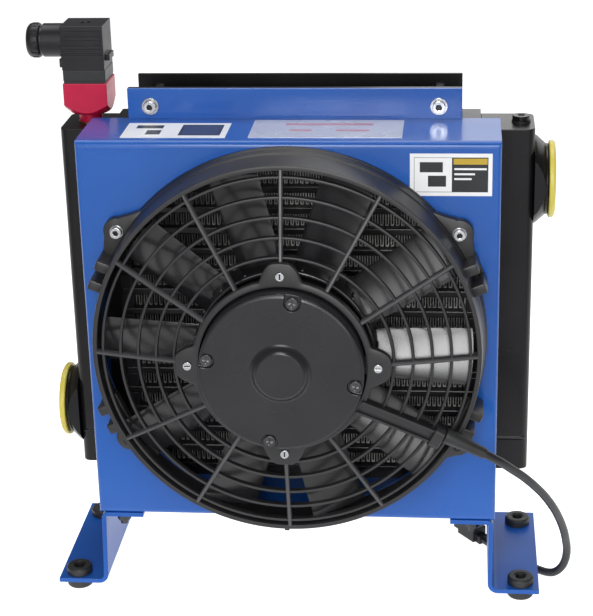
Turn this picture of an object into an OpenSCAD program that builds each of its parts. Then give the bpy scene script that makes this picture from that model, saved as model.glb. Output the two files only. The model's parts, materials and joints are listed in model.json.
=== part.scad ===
// Hydraulic oil cooler: bar and plate core, two tanks, shroud, axial fan, thermal switch, feet.
// Millimetres, Z up, the fan faces -Y, the floor is Z = 0.
// Origin: centre of the four foot bolt holes, at floor level.

/* [Shroud] */
// Width of the sheet metal shroud
shroud_w = 260; // [240:1:300]
// Height of the sheet metal shroud
shroud_h = 254; // [240:1:300]
// Depth of the shroud, front to back
shroud_d = 57; // [40:1:80]
// Sheet thickness of the shroud
sheet = 2; // [1:0.5:3]
// Height of the shroud underside above the floor
base_h = 56; // [45:1:80]
// Y of the shroud front face
front_y = -47; // [-60:1:-40]
// Height of the bolting flange above and below the shroud
flange_h = 19.5; // [15:0.5:30]
// Half width of the bolting flange
flange_x = 106; // [80:1:120]

/* [Core] */
// Depth of the core and tanks
core_d = 41; // [30:1:60]
// Height of the core
core_h = 236; // [200:1:260]
// Half width of the core between the tanks
core_x = 118; // [100:1:125]
// Number of oil tubes
tube_n = 16; // [10:1:20]
// Outer thickness of an oil tube
tube_t = 4.7; // [3:0.1:6]
// Wall of an oil tube
tube_wall = 0.8; // [0.5:0.1:1.5]
// Pitch of the folded fins
fin_pitch = 10; // [4:1:14]
// Thickness of the side channel plates
chan_t = 3; // [2:0.5:4]

/* [Tanks and ports] */
// Outer half width over the tanks
tank_x = 152; // [140:1:170]
// Tank wall
tank_wall = 3; // [2:0.5:5]
// Height of the port centres above and below the core centre
port_dz = 80; // [60:1:95]
// Bore of the ports (thread core of a G1 port)
port_bore = 30.3; // [20:0.1:40]
// Outer diameter of the port boss
boss_od = 46; // [40:1:50]
// Flange diameter of the push-in port caps
cap_od = 50; // [40:1:55]

/* [Fan] */
// Height of the fan axis
fan_z = 184.5; // [170:0.5:200]
// Number of blades
blade_n = 10; // [6:1:12]
// Blade tip radius
blade_r = 114.5; // [100:0.5:116]
// Blade chord
blade_chord = 33; // [20:1:45]
// Blade pitch from the fan plane
blade_pitch = 20; // [10:1:35]
// Depth of the fan barrel in front of the shroud
barrel_d = 33; // [20:1:40]
// Motor outer diameter
motor_od = 100; // [80:1:104]
// Half spacing in X of the fan ears
ear_x = 105.3; // [100:0.5:112]
// Half spacing in Z of the fan ears
ear_z = 70; // [60:0.5:80]

/* [Feet] */
// Thickness of the foot plates
foot_t = 3; // [2:0.5:4]
// Half spacing in X of the foot bolt holes
bolt_x = 147.5; // [140:0.5:155]
// Half spacing in Y of the foot bolt holes
bolt_y = 42; // [30:1:48]
// Bore of the bushing sleeves
bolt_bore = 7; // [5:0.5:9]
// Bushing flange diameter
bush_od = 17; // [14:0.5:20]
// Total height of a bushing
bush_h = 14.5; // [12:0.5:18]

/* [Switch] */
// X of the thermal switch axis
sw_x = -135; // [-140:1:-125]
// Side of the switch block
sw_side = 28.5; // [24:0.5:32]

/* [Hidden] */
$fn = 48;
back_y = front_y + shroud_d;
core_y1 = back_y + core_d;
mid_y = back_y + core_d/2;
top_z = base_h + shroud_h;
core_z0 = fan_z - core_h/2;
core_z1 = fan_z + core_h/2;
fin_n = tube_n + 1;
fin_recess = 6.5;
fin_h = (core_h - tube_n*tube_t)/fin_n;
pitch_z = fin_h + tube_t;
chan_top = top_z + flange_h;
chan_bot = base_h - flange_h;
port_hi = fan_z + port_dz;
port_lo = fan_z - port_dz;
flange_screw_x = 91.5;
flange_screw_hi = top_z + 8;
flange_screw_lo = base_h - 8;
ring_r = [112.9, 101.4, 89.9, 78.3, 66.8];
ring_f = [33.6, 36.9, 39.9, 42.7, 45.3];
spoke_back = 4.6;
hub_r0 = 51;
hub_r1 = 55;
lobe_r = 57.7;
cover_r = 45.3;
cover_a = [80, -10, -100, 170];
clip_a = [21.8, 158.2, 203.5, 336.5];
clip_r = 130;
clip_f = 24;
blade_a0 = -2.4;
blade_f = 19;
duct_a = -28.5;
boot_a = -26.6;
boot_f = 38.9;
boot_r0 = 109.2;
boot_len = 28;
nub_a = -91;
plug_a = 126.87;
hub_f = 46.5;
m5_r = 2.5;
m5_clear = 2.7;
boss_x1 = 161.5;
vent_x = 143.5;
gland_z = 356;
foot_x0 = 101;
foot_x1 = 159.5;
foot_bend = 3.5;
foot_w0 = 126;
foot_y0 = -52;
foot_y1 = 58;
foot_screw_x = 115.5;
foot_screw_y = [-38, -2];
plate_z = 6;
sw_z = 302.5;
cable_r = 2.7;
blue = [0.13, 0.33, 0.72];
black = [0.07, 0.07, 0.08];
dark = [0.16, 0.16, 0.17];
steel = [0.75, 0.76, 0.78];
alu = [0.62, 0.63, 0.65];
red = [0.78, 0.05, 0.18];
yellow = [0.86, 0.8, 0.25];
rubber = [0.1, 0.1, 0.1];
paper = [0.93, 0.93, 0.92];

cable_pts = [
  [100.2, -85.9, 134.3], [107, -85.9, 130.9], [114.5, -85.9, 127.2], [122, -85.9, 123.4],
  [127, -84.9, 120.2], [132.5, -82.3, 115.8], [139, -77.8, 109.2], [146, -72.2, 101.8],
  [152, -67.2, 94.4], [158, -61.6, 86], [163, -56, 77.4], [168, -49.4, 67], [172, -42.4, 56],
  [175.2, -35.6, 44.6], [177.2, -29.6, 34], [178.2, -25.4, 25.6], [178, -22.6, 18.2],
  [176.6, -20.6, 11.8], [174, -19.2, 7], [170.4, -18.2, 4], [166, -16.6, 3],
  [161, -13.6, 3], [155, -9.2, 3], [149.5, -4.4, 3], [144.3, 0.9, 3], [139.5, 6.6, 3],
  [134.8, 12.6, 3], [130.2, 18.9, 3], [127.2, 23, 3], [124.2, 27, 3]
];

// ---- helpers ----
// cylinder along +Y from y0 to y1
module ycyl(x, y0, y1, z, r) {
  translate([x, y0, z])
    rotate([-90, 0, 0])
      cylinder(h = y1 - y0, r = r);
}

// cylinder along +X from x0 to x1
module xcyl(x0, x1, y, z, r) {
  translate([x0, y, z])
    rotate([0, 90, 0])
      cylinder(h = x1 - x0, r = r);
}

// cylinder along +Z from z0 to z1
module zcyl(x, y, z0, z1, r) {
  translate([x, y, z0])
    cylinder(h = z1 - z0, r = r);
}

// box given by its limits
module box(x0, x1, y0, y1, z0, z1) {
  translate([x0, y0, z0])
    cube([x1 - x0, y1 - y0, z1 - z0]);
}

// fan frame: local x is X, local y is Z, local z is the distance in front of the shroud
module fan() {
  translate([0, front_y, fan_z])
    rotate([90, 0, 0])
      children();
}

// disc or tube in the fan frame, from depth d0 to d1
module fdisc(r, d0, d1, hole = 0) {
  translate([0, 0, d0])
    difference() {
      cylinder(h = d1 - d0, r = r, $fn = 96);
      if (hole > 0)
        translate([0, 0, -1])
          cylinder(h = d1 - d0 + 2, r = hole, $fn = 96);
    }
}

// outline points of a corner arc
function arc(cx, cy, r, a0, a1, n = 6) =
  [for (i = [0:n]) [cx + r*cos(a0 + (a1 - a0)*i/n), cy + r*sin(a0 + (a1 - a0)*i/n)]];

// rounded rectangle outline, one radius for all four corners
function rrect(x0, x1, y0, y1, r) = concat(
  arc(x1 - r, y0 + r, r, -90, 0), arc(x1 - r, y1 - r, r, 0, 90),
  arc(x0 + r, y1 - r, r, 90, 180), arc(x0 + r, y0 + r, r, 180, 270));

// side outline of the shroud in Y and Z with bends of radius r at the front
function side_outline(y0, y1, z0, z1, r) = concat(
  [[y1, z0], [y1, z1]], arc(y0 + r, z1 - r, r, 90, 180), arc(y0 + r, z0 + r, r, 180, 270));

// plan outline of the shroud in X and Y with bends of radius r at the front
function plan_outline(x, y0, y1, r) = concat(
  [[x, y1], [-x, y1]], arc(-x + r, y0 + r, r, 180, 270), arc(x - r, y0 + r, r, 270, 360));

// solid block with bent front edges
module shroud_block(x, y0, y1, z0, z1, rs, rp) {
  intersection() {
    translate([-x, 0, 0])
      rotate([90, 0, 90])
        linear_extrude(2*x)
          polygon(side_outline(y0, y1, z0, z1, rs));
    translate([0, 0, z0])
      linear_extrude(z1 - z0)
        polygon(plan_outline(x, y0, y1, rp));
  }
}

// ---- shroud ----
module shroud() {
  color(blue)
    difference() {
      union() {
        shroud_block(shroud_w/2, front_y, back_y, base_h, top_z, 4, 2.5);
        box(-flange_x, flange_x, back_y - sheet, back_y, top_z - 1, chan_top);
        box(-flange_x, flange_x, back_y - sheet, back_y, chan_bot, base_h + 1);
      }
      shroud_block(shroud_w/2 - sheet, front_y + sheet, back_y + 1, base_h + sheet,
        top_z - sheet, 2, 0.8);
      ycyl(0, front_y - 1, front_y + 5, fan_z, 120.5, $fn = 128);
      for (sx = [-1, 1])
        for (sz = [-1, 1])
          ycyl(sx*ear_x, front_y - 1, front_y + 5, fan_z + sz*ear_z, m5_clear);
      for (sx = [-1, 1])
        for (z = [flange_screw_hi, flange_screw_lo])
          ycyl(sx*flange_screw_x, back_y - 5, back_y + 5, z, m5_clear);
      for (sx = [-1, 1])
        for (y = foot_screw_y)
          zcyl(sx*foot_screw_x, y, base_h - 1, base_h + 5, m5_clear);
    }
}

// ---- core ----
module core_tubes() {
  color(alu)
    for (i = [0:tube_n - 1])
      difference() {
        box(-core_x, core_x, back_y, core_y1, core_z0 + fin_h + i*pitch_z,
          core_z0 + fin_h + i*pitch_z + tube_t);
        box(-core_x - 1, core_x + 1, back_y + 4, core_y1 - 4,
          core_z0 + fin_h + i*pitch_z + tube_wall,
          core_z0 + fin_h + i*pitch_z + tube_t - tube_wall);
      }
}

// folded fin outline in X and Z, one row
function fin_line(n, p, h, t) = concat(
  [for (k = [0:n]) [-n*p/2 + k*p, k % 2 == 0 ? 0 : h - t]],
  [for (k = [n:-1:0]) [-n*p/2 + k*p, k % 2 == 0 ? t : h]]);

module core_fins() {
  color(dark)
    for (i = [0:fin_n - 1])
      translate([0, core_y1 - 1, core_z0 + i*pitch_z])
        rotate([90, 0, 0])
          linear_extrude(core_d - 1 - fin_recess)
            polygon(fin_line(42, fin_pitch/2, fin_h, 0.8));
}

module core_end_bars() {
  color(black)
    for (i = [0:fin_n - 1])
      for (sx = [-1, 1])
        translate([sx*(core_x - 4), mid_y, core_z0 + i*pitch_z + fin_h/2])
          cube([8, core_d, fin_h], center = true);
}

// side channel: web on the core, two legs with bolt holes
module side_channel(zw0, zw1, zl0, zl1, zs) {
  color(black)
    difference() {
      union() {
        box(-core_x, core_x, back_y, core_y1, zw0, zw1);
        box(-flange_x, flange_x, back_y, back_y + chan_t, zl0, zl1);
        box(-flange_x, flange_x, core_y1 - chan_t, core_y1, zl0, zl1);
      }
      for (sx = [-1, 1])
        ycyl(sx*flange_screw_x, back_y - 1, core_y1 + 1, zs, m5_clear);
    }
}

module top_side_channel() {
  side_channel(core_z1, core_z1 + chan_t, core_z1, chan_top, flange_screw_hi);
}

module bottom_side_channel() {
  side_channel(core_z0 - chan_t, core_z0, chan_bot, core_z0, flange_screw_lo);
}

// ---- tanks: open to the core, port in the outer wall ----
module tank(pz) {
  difference() {
    union() {
      translate([0, 0, core_z0])
        linear_extrude(core_h)
          polygon(concat([[core_x, core_y1], [core_x, back_y]],
            arc(tank_x - 5, back_y + 5, 5, 270, 360), arc(tank_x - 5, core_y1 - 5, 5, 0, 90)));
      translate([shroud_w/2 + 1, back_y - 0.6, core_z0 + 22])
        cube([tank_x - shroud_w/2 - 3, core_d + 1.2, 1.6]);
    }
    translate([0, 0, core_z0 + tank_wall])
      linear_extrude(core_h - 2*tank_wall)
        polygon(concat([[core_x - 1, core_y1 - 3], [core_x - 1, back_y + 3]],
          arc(tank_x - 5, back_y + 5, 2, 270, 360), arc(tank_x - 5, core_y1 - 5, 2, 0, 90)));
    xcyl(tank_x - 5, tank_x + 5, mid_y, pz, port_bore/2, $fn = 64);
  }
}

module left_tank() {
  color(black)
    difference() {
      mirror([1, 0, 0])
        tank(port_lo);
      zcyl(sw_x, mid_y, core_z1 - 5, core_z1 + 1, 6.6);
    }
}

module right_tank() {
  color(black)
    difference() {
      tank(port_hi);
      zcyl(vent_x, mid_y, core_z1 - 5, core_z1 + 1, 4.5);
    }
}

module port_boss(pz) {
  color(dark)
    intersection() {
      translate([tank_x, mid_y, pz])
        rotate([0, 90, 0])
          rotate_extrude($fn = 72)
            polygon([[port_bore/2, 0], [29, 0], [28, 2], [boss_od/2, 7.5],
              [boss_od/2, boss_x1 - tank_x - 0.8], [boss_od/2 - 0.8, boss_x1 - tank_x],
              [port_bore/2 + 1, boss_x1 - tank_x], [port_bore/2, boss_x1 - tank_x - 1]]);
      box(tank_x - 1, boss_x1 + 1, back_y - 2.5, core_y1 + 2.5, pz - 40, pz + 40);
    }
}

module left_port_boss() {
  mirror([1, 0, 0])
    port_boss(port_lo);
}

module right_port_boss() {
  port_boss(port_hi);
}

// push-in cap: hollow spigot and a domed flange
module port_cap(pz) {
  color(yellow)
    translate([boss_x1, mid_y, pz])
      rotate([0, 90, 0])
        rotate_extrude($fn = 72)
          polygon([[0, 1.9], [13, 1.9], [13, -11], [14.2, -12], [14.6, -11.4], [14.9, -9],
            [14.9, 0], [cap_od/2 - 0.6, 0], [cap_od/2, 0.6], [cap_od/2, 2.8],
            [cap_od/2 - 1.3, 4.1], [15, 4.1], [14, 3.4], [0, 3.4]]);
}

module left_port_cap() {
  mirror([1, 0, 0])
    port_cap(port_lo);
}

module right_port_cap() {
  port_cap(port_hi);
}

module vent_plug() {
  color(dark)
    difference() {
      union() {
        zcyl(vent_x, mid_y, core_z1 + 1, core_z1 + 4.2, 5.6);
        zcyl(vent_x, mid_y, core_z1 - 7, core_z1 + 1, 4.4);
      }
      zcyl(vent_x, mid_y, core_z1 + 1.6, core_z1 + 5, 2.4, $fn = 6);
    }
}

module vent_seal() {
  color(rubber)
    difference() {
      zcyl(vent_x, mid_y, core_z1, core_z1 + 1, 6.1);
      zcyl(vent_x, mid_y, core_z1 - 1, core_z1 + 2, 4.5);
    }
}

// ---- thermal switch ----
module switch_body() {
  color(red)
    difference() {
      union() {
        intersection() {
          box(sw_x - sw_side/2, sw_x + sw_side/2, mid_y - sw_side/2, mid_y + sw_side/2,
            sw_z + 7, sw_z + 28);
          translate([sw_x, mid_y, sw_z])
            rotate_extrude($fn = 72)
              polygon([[0, 7], [12.5, 7], [20.4, 14], [20.4, 28], [0, 28]]);
        }
        zcyl(sw_x, mid_y, sw_z + 1, sw_z + 7, 7.6);
        zcyl(sw_x, mid_y, sw_z - 8, sw_z + 1, 6.5);
        zcyl(sw_x, mid_y, sw_z - 42, sw_z - 8, 4);
      }
      zcyl(sw_x, mid_y, sw_z + 12, sw_z + 29, 10);
    }
}

module switch_seal() {
  color([0.75, 0.45, 0.25])
    difference() {
      zcyl(sw_x, mid_y, sw_z, sw_z + 1, 8.2);
      zcyl(sw_x, mid_y, sw_z - 1, sw_z + 2, 6.6);
    }
}

module switch_snap_disc() {
  color(steel)
    union() {
      zcyl(sw_x, mid_y, sw_z + 12, sw_z + 13, 9.6);
      zcyl(sw_x, mid_y, sw_z + 13, sw_z + 20, 2);
    }
}

module connector_base() {
  color(dark)
    union() {
      difference() {
        union() {
          box(sw_x - 13.75, sw_x + 13.75, mid_y - 13.5, mid_y + 13.5, sw_z + 29.4, sw_z + 36.5);
          zcyl(sw_x, mid_y, sw_z + 22, sw_z + 29.4, 9.5);
        }
        zcyl(sw_x, mid_y, sw_z + 27, sw_z + 40, 1.55);
      }
      for (a = [0, 90, 180, 270])
        translate([sw_x, mid_y, sw_z + 36.5])
          rotate([0, 0, a])
            translate([6.5, -2.5, 0])
              cube([0.8, 5, 9]);
    }
}

module connector_gasket() {
  color(rubber)
    difference() {
      box(sw_x - 13.4, sw_x + 13.4, mid_y - 13.4, mid_y + 13.4, sw_z + 28, sw_z + 29.4);
      zcyl(sw_x, mid_y, sw_z + 27, sw_z + 30, 9.5);
    }
}

module connector_housing() {
  z0 = sw_z + 36.5;
  z1 = sw_z + 65;
  color(black)
    difference() {
      union() {
        box(sw_x - 14, sw_x + 13.5, mid_y - 13.75, mid_y + 13.75, z0, z1);
        xcyl(-162.5, sw_x - 13, mid_y, gland_z, 10.75);
        box(sw_x - 17, sw_x - 13, mid_y - 7, mid_y + 7, z0 + 0.5, z0 + 6);
        box(sw_x + 13, sw_x + 16, mid_y - 7, mid_y + 7, z0 + 5, z0 + 9);
      }
      for (i = [0:5])
        for (s = [-1, 1])
          translate([sw_x - 15, mid_y + s*13.75 - 0.8, z0 + 9.6 + i*2.9])
            cube([27, 1.6, 1.3]);
      box(sw_x - 11.5, sw_x + 11.5, mid_y - 11.5, mid_y + 11.5, z0 - 1, z0 + 22);
      xcyl(-163, sw_x, mid_y, gland_z, 7.8);
      zcyl(sw_x, mid_y, z0, z1 + 1, 1.6);
      zcyl(sw_x, mid_y, z1 - 3, z1 + 1, 3.2);
    }
}

module contact_block() {
  color([0.3, 0.3, 0.32])
    difference() {
      box(sw_x - 10, sw_x + 10, mid_y - 10, mid_y + 10, sw_z + 36.5, sw_z + 54);
      zcyl(sw_x, mid_y, sw_z + 30, sw_z + 60, 1.6);
      for (a = [0, 90, 180, 270])
        translate([sw_x, mid_y, sw_z + 36])
          rotate([0, 0, a])
            translate([6.4, -2.6, 0])
              cube([1, 5.2, 10]);
    }
}

module gland_nut() {
  color(black)
    difference() {
      union() {
        translate([-172.5, mid_y, gland_z])
          rotate([0, 90, 0])
            rotate_extrude($fn = 48)
              polygon([[0, 0], [9, 0], [10.6, 1.4], [11.3, 3.5], [11.3, 6.6], [10.6, 8],
                [9, 8.4], [9, 10], [0, 10]]);
        xcyl(-162.5, -158, mid_y, gland_z, 7.8);
      }
      xcyl(-174, -157, mid_y, gland_z, 5);
      for (i = [0:11])
        translate([-166, mid_y, gland_z])
          rotate([i*30, 0, 0])
            translate([-3, 10.8, -1])
              cube([6, 2, 2]);
    }
}

module gland_grommet() {
  color(rubber)
    difference() {
      xcyl(-158, -149.5, mid_y, gland_z, 7.8);
      xcyl(-160, -148, mid_y, gland_z, 3.5);
    }
}

module connector_screw() {
  color(steel)
    difference() {
      union() {
        zcyl(sw_x, mid_y, sw_z + 29, sw_z + 62, 1.5);
        zcyl(sw_x, mid_y, sw_z + 62, sw_z + 64.2, 2.9);
      }
      box(sw_x - 4, sw_x + 4, mid_y - 0.4, mid_y + 0.4, sw_z + 63.2, sw_z + 65);
    }
}

// ---- fan housing: barrel, ears, clips, domed grille, hub ring, cable duct ----
module grille_ring(r, f) {
  translate([0, 0, f - spoke_back])
    difference() {
      cylinder(h = spoke_back, r = r + 0.9, $fn = 96);
      translate([0, 0, -1])
        cylinder(h = spoke_back + 2, r = r - 0.9, $fn = 96);
    }
}

module spoke(a, ri) {
  rotate([0, 0, a])
    rotate([90, 0, 0])
      linear_extrude(2.6, center = true)
        polygon([[ri, 50.4], [66.8, 46.3], [78.3, 43.6], [89.9, 40.8], [101.4, 37.8],
          [112.9, 34.5], [118.6, 33.2], [118.6, 28.5], [112.9, 28.6], [101.4, 31.4],
          [89.9, 34.6], [78.3, 37.4], [66.8, 40.2], [ri, 46.5]]);
}

module ear(sx, sz) {
  difference() {
    linear_extrude(7)
      union() {
        translate([sx*ear_x, sz*ear_z])
          circle(r = 8.5);
        polygon([[sx*(ear_x + 8.5), sz*ear_z], [sx*(ear_x + 1), sz*(ear_z + 8.5)],
          [sx*88, sz*84], [sx*84, sz*80], [sx*112, sz*38], [sx*115.5, sz*42]]);
      }
    cylinder(h = 20, r = 121, center = true, $fn = 96);
    translate([sx*ear_x, sz*ear_z, -1])
      cylinder(h = 10, r = 2.7);
  }
}

// pair of lugs on the barrel with a notch between them
module clip(a) {
  rotate([0, 0, a])
    difference() {
      translate([118, -10, 0])
        cube([clip_r - 118, 20, clip_f]);
      translate([122.8, -3.5, 3])
        cube([10, 7, clip_f]);
      translate([0, 0, -1])
        cylinder(h = 40, r1 = 121, r2 = 117, $fn = 96);
    }
}

module fan_housing() {
  color(black)
    fan()
      difference() {
        union() {
          rotate_extrude($fn = 128)
            polygon([[120.5, 0], [123, 0], [123, 3], [122.2, 3.4], [119.8, barrel_d - 1],
              [119, barrel_d], [116.6, barrel_d], [116.6, barrel_d - 3]]);
          for (sx = [-1, 1])
            for (sz = [-1, 1])
              ear(sx, sz);
          for (a = clip_a)
            clip(a);
          for (i = [0:4])
            grille_ring(ring_r[i], ring_f[i]);
          for (i = [0:11])
            if (i % 3 != 0)
              spoke(i*30, 53);
          for (i = [0:3])
            spoke(i*90, 64.4);
          fdisc(hub_r1, hub_f, 52, hub_r0);
          for (i = [0:3])
            rotate([0, 0, i*90])
              translate([lobe_r, 0, hub_f])
                cylinder(h = 5, r = 7.8);
          rotate([0, 0, duct_a])
            rotate([90, 0, 0])
              linear_extrude(9, center = true)
                polygon([[53, 46.6], [53, 54], [66, 50.4], [90, 45], [104, 42.6], [104, 34],
                  [90, 38], [66, 43]]);
          rotate([0, 0, duct_a])
            translate([102, -7.5, 32])
              cube([7, 15, 12]);
          rotate([0, 0, nub_a])
            translate([118, -1.5, 27])
              cube([4, 3, 4]);
        }
        translate([0, 0, 30])
          cylinder(h = 40, r = hub_r0, $fn = 96);
        for (i = [0:3])
          rotate([0, 0, i*90])
            translate([lobe_r, 0, 40])
              cylinder(h = 20, r = 2);
      }
}

// ---- motor ----
module motor_can() {
  color(dark)
    fan()
      difference() {
        union() {
          fdisc(motor_od/2, 24, 56);
          fdisc(13, 19, 25);
          for (i = [0:3])
            rotate([0, 0, i*90])
              translate([lobe_r - 8, -6, 43.5])
                cube([8, 12, 3]);
          for (i = [0:3])
            rotate([0, 0, i*90])
              translate([lobe_r, 0, 43.5])
                cylinder(h = 3, r = 6);
        }
        fdisc(48, 26, 57);
        fdisc(11, 20, 30);
        fdisc(6, 18, 30);
        for (i = [0:3])
          rotate([0, 0, i*90])
            translate([lobe_r, 0, 40])
              cylinder(h = 20, r = 1.8);
      }
}

module motor_magnets() {
  color([0.2, 0.2, 0.22])
    fan()
      for (i = [0:3])
        rotate([0, 0, i*90])
          translate([0, 0, 30])
            rotate_extrude(angle = 66, $fn = 96)
              polygon([[43.5, 0], [48, 0], [48, 21], [43.5, 21]]);
}

module motor_cover() {
  color(dark)
    fan()
      difference() {
        union() {
          rotate_extrude($fn = 96)
            polygon([[0, 56], [motor_od/2, 56], [motor_od/2, 60.8], [motor_od/2 - 0.6, 62],
              [motor_od/2 - 2, 62.5], [18.8, 62.5], [17.4, 63.2], [15.4, 66], [14, 66.6],
              [0, 66.6]]);
        }
        fdisc(38, 55, 60);
        fdisc(11, 57.5, 64.5);
        for (a = cover_a)
          rotate([0, 0, a])
            translate([cover_r, 0, 60])
              cylinder(h = 8, r = 5);
        for (a = cover_a)
          rotate([0, 0, a])
            translate([cover_r + 4, 0, 64])
              cube([8, 10, 8], center = true);
        for (a = cover_a)
          rotate([0, 0, a])
            translate([cover_r, 0, 50])
              cylinder(h = 20, r = 2);
      }
}

module motor_cover_screws() {
  color(dark)
    fan()
      for (a = cover_a)
        rotate([0, 0, a])
          translate([cover_r, 0, 0])
            difference() {
              union() {
                translate([0, 0, 60])
                  cylinder(h = 2.6, r = 3.5);
                translate([0, 0, 26])
                  cylinder(h = 34, r = 1.95);
              }
              translate([-2.2, -0.4, 61.8])
                cube([4.4, 0.8, 2]);
              translate([-0.4, -2.2, 61.8])
                cube([0.8, 4.4, 2]);
            }
}

module motor_mount_screws() {
  color(dark)
    fan()
      for (i = [0:3])
        rotate([0, 0, i*90])
          translate([lobe_r, 0, 0])
            difference() {
              union() {
                translate([0, 0, hub_f + 5])
                  cylinder(h = 1.6, r = 2.6);
                translate([0, 0, 42])
                  cylinder(h = 9.5, r = 1.8);
              }
              translate([-1.8, -0.35, 52.4])
                cube([3.6, 0.7, 2]);
            }
}

module brush_plate() {
  color([0.45, 0.3, 0.15])
    fan()
      difference() {
        union() {
          fdisc(47.9, 54.5, 56, 15);
          for (s = [-1, 1])
            translate([s*20 - 5, -4.5, 51])
              cube([10, 9, 3.5]);
        }
        for (s = [-1, 1])
          translate([s*20 - 6, -3, 50])
            cube([12, 6, 4.5]);
        for (a = cover_a)
          rotate([0, 0, a])
            translate([cover_r, 0, 50])
              cylinder(h = 10, r = 2.4);
      }
}

module motor_brushes() {
  color([0.25, 0.23, 0.22])
    fan()
      for (s = [-1, 1])
        translate([s*19.1 - 6, -3, 51])
          cube([12, 6, 3.5]);
}

module motor_bearings() {
  color(steel)
    fan()
      union() {
        fdisc(11, 20, 26, 4.05);
        fdisc(11, 57.5, 64.5, 4.05);
      }
}

module motor_shaft() {
  color(steel)
    fan()
      fdisc(4, 3, 64);
}

module motor_armature() {
  color([0.55, 0.3, 0.12])
    fan()
      difference() {
        fdisc(42.8, 32, 49.5, 4);
        for (i = [0:11])
          rotate([0, 0, i*30 + 15])
            translate([34, -1.5, 30])
              cube([12, 3, 22]);
      }
}

module motor_commutator() {
  color([0.72, 0.42, 0.2])
    fan()
      fdisc(13, 50, 57, 4);
}

module impeller() {
  color(black)
    fan()
      difference() {
        union() {
          intersection() {
            for (i = [0:blade_n - 1])
              rotate([0, 0, blade_a0 + i*360/blade_n])
                translate([54, 0, blade_f])
                  rotate([-blade_pitch, 0, 0])
                    translate([0, -blade_chord/2, -1.1])
                      cube([66, blade_chord, 2.2]);
            fdisc(blade_r, 0, 30);
          }
          fdisc(56, 3, 36);
        }
        fdisc(53, 15, 40);
        fdisc(50, -1, 12, 10);
        fdisc(4.05, 0, 20);
      }
}

module impeller_clip() {
  color(steel)
    fan()
      difference() {
        fdisc(7, 0.5, 3);
        fdisc(2.6, 0, 1.5);
      }
}

// ---- fasteners ----
module fan_mount_screws() {
  color(steel)
    fan()
      for (sx = [-1, 1])
        for (sz = [-1, 1])
          translate([sx*ear_x, sz*ear_z, 0])
            difference() {
              union() {
                translate([0, 0, 8])
                  cylinder(h = 3, r = 3.6);
                translate([0, 0, -9])
                  cylinder(h = 17, r = m5_r);
              }
              translate([0, 0, 9.2])
                cylinder(h = 3, r = 1.7, $fn = 6);
            }
}

module fan_mount_washers() {
  color(steel)
    fan()
      for (sx = [-1, 1])
        for (sz = [-1, 1])
          translate([sx*ear_x, sz*ear_z, 7])
            difference() {
              cylinder(h = 1, r = 4.3);
              translate([0, 0, -1])
                cylinder(h = 3, r = m5_clear);
            }
}

module fan_mount_nuts() {
  color(steel)
    fan()
      for (sx = [-1, 1])
        for (sz = [-1, 1])
          translate([sx*ear_x, sz*ear_z, -6])
            difference() {
              cylinder(h = 4, r = 4.6, $fn = 6);
              translate([0, 0, -1])
                cylinder(h = 6, r = m5_r);
            }
}

// screw along Y: head at yh, thread towards s
module y_screw(x, yh, z, s, len) {
  difference() {
    union() {
      ycyl(x, min(yh, yh - s*3), max(yh, yh - s*3), z, 4);
      ycyl(x, min(yh, yh + s*len), max(yh, yh + s*len), z, m5_r);
    }
    ycyl(x, min(yh - s*1.6, yh - s*4), max(yh - s*1.6, yh - s*4), z, 1.9, $fn = 6);
  }
}

module y_ring(x, y0, y1, z, r, h, f) {
  difference() {
    ycyl(x, y0, y1, z, r, $fn = f);
    ycyl(x, y0 - 1, y1 + 1, z, h);
  }
}

module flange_screws() {
  color(steel)
    for (sx = [-1, 1])
      for (z = [flange_screw_hi, flange_screw_lo]) {
        y_screw(sx*flange_screw_x, back_y - sheet - 1.2, z, 1, 13);
        y_screw(sx*flange_screw_x, core_y1 + 1.2, z, -1, 11);
      }
}

module flange_washers() {
  color(steel)
    for (sx = [-1, 1])
      for (z = [flange_screw_hi, flange_screw_lo]) {
        y_ring(sx*flange_screw_x, back_y - sheet - 1.2, back_y - sheet, z, 5.5, 2.6, 48);
        y_ring(sx*flange_screw_x, core_y1, core_y1 + 1.2, z, 5.5, 2.6, 48);
      }
}

module flange_nuts() {
  color(steel)
    for (sx = [-1, 1])
      for (z = [flange_screw_hi, flange_screw_lo]) {
        y_ring(sx*flange_screw_x, back_y + chan_t, back_y + chan_t + 4, z, 4.6, m5_r, 6);
        y_ring(sx*flange_screw_x, core_y1 - chan_t - 4, core_y1 - chan_t, z, 4.6, m5_r, 6);
      }
}

// ---- feet ----
// Z section of a foot in X and Z: tab under the shroud, web, floor plate
function foot_section(t, z0, z1) = concat(
  [[foot_x0, z1 - t], [foot_x0, z1]],
  arc(foot_w0 + t - 4, z1 - 4, 4, 90, 0),
  arc(foot_w0 + t + foot_bend, z0 + t + foot_bend, foot_bend, 180, 270),
  [[foot_x1, z0 + t], [foot_x1, z0]],
  arc(foot_w0 + t + foot_bend, z0 + t + foot_bend, foot_bend + t, 270, 180),
  [[foot_w0, z1 - t - 1]],
  arc(foot_w0 - 1, z1 - t - 1, 1, 0, 90));

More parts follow.
